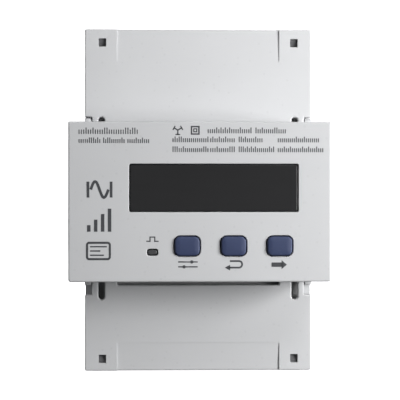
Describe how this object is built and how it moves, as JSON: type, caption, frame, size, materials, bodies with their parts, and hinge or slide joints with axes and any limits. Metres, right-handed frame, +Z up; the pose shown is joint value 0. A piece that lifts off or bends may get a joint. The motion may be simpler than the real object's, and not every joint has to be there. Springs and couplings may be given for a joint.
{
  "type": "smart electric meter",
  "caption": "Four-module rail-mounted three-phase electricity meter with a raised display housing, keys and hinged terminal covers at both ends.",
  "frame": {"origin": "middle of the rail seat, on the face that rests against the front of a 35 mm mounting rail, at the rail's centre line", "axes": "+X right across the front panel, +Y backwards into the rail and wall, +Z up as the meter hangs on its rail; the front panel faces -Y"},
  "size_m": [0.072, 0.0664, 0.1],
  "materials": {
    "grey_plastic": "light grey moulded plastic with a fine even texture",
    "pale_plastic": "light grey moulded plastic, slightly smoother",
    "blue_key": "dark slate blue elastomer, satin",
    "dark_lens": "near-black tinted clear plastic, glossy",
    "pipe_plastic": "smoked clear plastic",
    "black_plastic": "black moulded plastic, satin",
    "green_plastic": "green moulded plastic, satin",
    "zinc_steel": "zinc-plated steel",
    "copper": "bare copper, slightly dull",
    "board": "green solder mask over glass laminate",
    "lcd_glass": "grey-green display glass",
    "white_plastic": "white moulded plastic",
    "led_red": "clear red resin",
    "sleeve": "dark blue shrink sleeve"
  },
  "bodies": {
    "case": {"base_case": "grey_plastic", "front_housing": "pale_plastic", "display_window": "dark_lens", "pulse_light_pipe": "pipe_plastic", "upper_terminal_block": "black_plastic", "lower_terminal_block": "black_plastic", "set_switch": "black_plastic", "escape_switch": "black_plastic", "next_switch": "black_plastic", "power_transformer": "black_plastic", "metering_chip": "black_plastic", "current_transformer_1": "black_plastic", "current_transformer_2": "black_plastic", "current_transformer_3": "black_plastic", "lcd_holder": "white_plastic", "board_link": "white_plastic", "data_connector": "green_plastic", "sensor_connector": "green_plastic", "rail_clip_spring": "zinc_steel", "phase_bar_1": "copper", "phase_bar_2": "copper", "phase_bar_3": "copper", "neutral_bar": "copper", "main_circuit_board": "board", "display_circuit_board": "board", "lcd_glass": "lcd_glass", "pulse_led": "led_red", "storage_capacitor": "sleeve"},
    "set_button": {"set_button": "blue_key", "set_switch_plunger": "white_plastic"},
    "escape_button": {"escape_button": "blue_key", "escape_switch_plunger": "white_plastic"},
    "next_button": {"next_button": "blue_key", "next_switch_plunger": "white_plastic"},
    "upper_terminal_cover": {"upper_terminal_cover": "grey_plastic"},
    "lower_terminal_cover": {"lower_terminal_cover": "grey_plastic"},
    "rail_clip": {"rail_clip": "black_plastic"},
    "upper_clamp_screw_1": {"upper_clamp_screw_1": "zinc_steel"},
    "upper_clamp_cage_1": {"upper_clamp_cage_1": "zinc_steel"},
    "upper_clamp_screw_2": {"upper_clamp_screw_2": "zinc_steel"},
    "upper_clamp_cage_2": {"upper_clamp_cage_2": "zinc_steel"},
    "upper_clamp_screw_3": {"upper_clamp_screw_3": "zinc_steel"},
    "upper_clamp_cage_3": {"upper_clamp_cage_3": "zinc_steel"},
    "upper_clamp_screw_4": {"upper_clamp_screw_4": "zinc_steel"},
    "upper_clamp_cage_4": {"upper_clamp_cage_4": "zinc_steel"},
    "lower_clamp_screw_1": {"lower_clamp_screw_1": "zinc_steel"},
    "lower_clamp_cage_1": {"lower_clamp_cage_1": "zinc_steel"},
    "lower_clamp_screw_2": {"lower_clamp_screw_2": "zinc_steel"},
    "lower_clamp_cage_2": {"lower_clamp_cage_2": "zinc_steel"},
    "lower_clamp_screw_3": {"lower_clamp_screw_3": "zinc_steel"},
    "lower_clamp_cage_3": {"lower_clamp_cage_3": "zinc_steel"},
    "data_screw_1": {"data_screw_1": "zinc_steel"},
    "data_screw_2": {"data_screw_2": "zinc_steel"},
    "sensor_screw_1": {"sensor_screw_1": "zinc_steel"},
    "sensor_screw_2": {"sensor_screw_2": "zinc_steel"},
    "sensor_screw_3": {"sensor_screw_3": "zinc_steel"},
    "sensor_screw_4": {"sensor_screw_4": "zinc_steel"},
    "sensor_screw_5": {"sensor_screw_5": "zinc_steel"},
    "sensor_screw_6": {"sensor_screw_6": "zinc_steel"}
  },
  "joints": [
    {"name": "set_button_press", "type": "slide", "parent": "case", "child": "set_button", "axis": [0, 1, 0], "range_m": [0, 0.0008], "stiffness_N_per_m": 400, "springref_m": -0.0006},
    {"name": "escape_button_press", "type": "slide", "parent": "case", "child": "escape_button", "axis": [0, 1, 0], "range_m": [0, 0.0008], "stiffness_N_per_m": 400, "springref_m": -0.0006},
    {"name": "next_button_press", "type": "slide", "parent": "case", "child": "next_button", "axis": [0, 1, 0], "range_m": [0, 0.0008], "stiffness_N_per_m": 400, "springref_m": -0.0006},
    {"name": "upper_cover_hinge", "type": "hinge", "parent": "case", "child": "upper_terminal_cover", "pos_m": [0, -0.0389, 0.0234], "axis": [1, 0, 0], "range_deg": [0, 90]},
    {"name": "lower_cover_hinge", "type": "hinge", "parent": "case", "child": "lower_terminal_cover", "pos_m": [0, -0.0389, -0.0234], "axis": [-1, 0, 0], "range_deg": [0, 90]},
    {"name": "rail_clip_slide", "type": "slide", "parent": "case", "child": "rail_clip", "axis": [0, 0, -1], "range_m": [0, 0.005], "stiffness_N_per_m": 600, "springref_m": -0.002, "deforming": ["rail_clip_spring"]},
    {"name": "upper_clamp_screw_1_turn", "type": "hinge", "parent": "case", "child": "upper_clamp_screw_1", "pos_m": [-0.024, -0.0363, 0.04], "axis": [0, 1, 0], "range_deg": [0, 2160]},
    {"name": "upper_clamp_cage_1_lift", "type": "slide", "parent": "case", "child": "upper_clamp_cage_1", "axis": [0, -1, 0], "range_m": [0, 0.0048]},
    {"name": "upper_clamp_screw_2_turn", "type": "hinge", "parent": "case", "child": "upper_clamp_screw_2", "pos_m": [-0.011, -0.0363, 0.04], "axis": [0, 1, 0], "range_deg": [0, 2160]},
    {"name": "upper_clamp_cage_2_lift", "type": "slide", "parent": "case", "child": "upper_clamp_cage_2", "axis": [0, -1, 0], "range_m": [0, 0.0048]},
    {"name": "upper_clamp_screw_3_turn", "type": "hinge", "parent": "case", "child": "upper_clamp_screw_3", "pos_m": [0.002, -0.0363, 0.04], "axis": [0, 1, 0], "range_deg": [0, 2160]},
    {"name": "upper_clamp_cage_3_lift", "type": "slide", "parent": "case", "child": "upper_clamp_cage_3", "axis": [0, -1, 0], "range_m": [0, 0.0048]},
    {"name": "upper_clamp_screw_4_turn", "type": "hinge", "parent": "case", "child": "upper_clamp_screw_4", "pos_m": [0.015, -0.0363, 0.04], "axis": [0, 1, 0], "range_deg": [0, 2160]},
    {"name": "upper_clamp_cage_4_lift", "type": "slide", "parent": "case", "child": "upper_clamp_cage_4", "axis": [0, -1, 0], "range_m": [0, 0.0048]},
    {"name": "lower_clamp_screw_1_turn", "type": "hinge", "parent": "case", "child": "lower_clamp_screw_1", "pos_m": [-0.024, -0.0363, -0.039], "axis": [0, 1, 0], "range_deg": [0, 2160]},
    {"name": "lower_clamp_cage_1_lift", "type": "slide", "parent": "case", "child": "lower_clamp_cage_1", "axis": [0, -1, 0], "range_m": [0, 0.0048]},
    {"name": "lower_clamp_screw_2_turn", "type": "hinge", "parent": "case", "child": "lower_clamp_screw_2", "pos_m": [-0.011, -0.0363, -0.039], "axis": [0, 1, 0], "range_deg": [0, 2160]},
    {"name": "lower_clamp_cage_2_lift", "type": "slide", "parent": "case", "child": "lower_clamp_cage_2", "axis": [0, -1, 0], "range_m": [0, 0.0048]},
    {"name": "lower_clamp_screw_3_turn", "type": "hinge", "parent": "case", "child": "lower_clamp_screw_3", "pos_m": [0.002, -0.0363, -0.039], "axis": [0, 1, 0], "range_deg": [0, 2160]},
    {"name": "lower_clamp_cage_3_lift", "type": "slide", "parent": "case", "child": "lower_clamp_cage_3", "axis": [0, -1, 0], "range_m": [0, 0.0048]},
    {"name": "data_screw_1_turn", "type": "hinge", "parent": "case", "child": "data_screw_1", "pos_m": [0.0242, -0.0361, 0.0425], "axis": [0, 1, 0], "range_deg": [0, 1080]},
    {"name": "data_screw_2_turn", "type": "hinge", "parent": "case", "child": "data_screw_2", "pos_m": [0.0284, -0.0361, 0.0425], "axis": [0, 1, 0], "range_deg": [0, 1080]},
    {"name": "sensor_screw_1_turn", "type": "hinge", "parent": "case", "child": "sensor_screw_1", "pos_m": [0.0113, -0.0361, -0.0415], "axis": [0, 1, 0], "range_deg": [0, 1080]},
    {"name": "sensor_screw_2_turn", "type": "hinge", "parent": "case", "child": "sensor_screw_2", "pos_m": [0.0148, -0.0361, -0.0415], "axis": [0, 1, 0], "range_deg": [0, 1080]},
    {"name": "sensor_screw_3_turn", "type": "hinge", "parent": "case", "child": "sensor_screw_3", "pos_m": [0.0183, -0.0361, -0.0415], "axis": [0, 1, 0], "range_deg": [0, 1080]},
    {"name": "sensor_screw_4_turn", "type": "hinge", "parent": "case", "child": "sensor_screw_4", "pos_m": [0.0218, -0.0361, -0.0415], "axis": [0, 1, 0], "range_deg": [0, 1080]},
    {"name": "sensor_screw_5_turn", "type": "hinge", "parent": "case", "child": "sensor_screw_5", "pos_m": [0.0253, -0.0361, -0.0415], "axis": [0, 1, 0], "range_deg": [0, 1080]},
    {"name": "sensor_screw_6_turn", "type": "hinge", "parent": "case", "child": "sensor_screw_6", "pos_m": [0.0288, -0.0361, -0.0415], "axis": [0, 1, 0], "range_deg": [0, 1080]}
  ],
  "couplings": [
    {"joint": "upper_clamp_screw_1_turn", "follows": "upper_clamp_cage_1_lift", "rad_per_m": 7854},
    {"joint": "upper_clamp_screw_2_turn", "follows": "upper_clamp_cage_2_lift", "rad_per_m": 7854},
    {"joint": "upper_clamp_screw_3_turn", "follows": "upper_clamp_cage_3_lift", "rad_per_m": 7854},
    {"joint": "upper_clamp_screw_4_turn", "follows": "upper_clamp_cage_4_lift", "rad_per_m": 7854},
    {"joint": "lower_clamp_screw_1_turn", "follows": "lower_clamp_cage_1_lift", "rad_per_m": 7854},
    {"joint": "lower_clamp_screw_2_turn", "follows": "lower_clamp_cage_2_lift", "rad_per_m": 7854},
    {"joint": "lower_clamp_screw_3_turn", "follows": "lower_clamp_cage_3_lift", "rad_per_m": 7854}
  ]
}
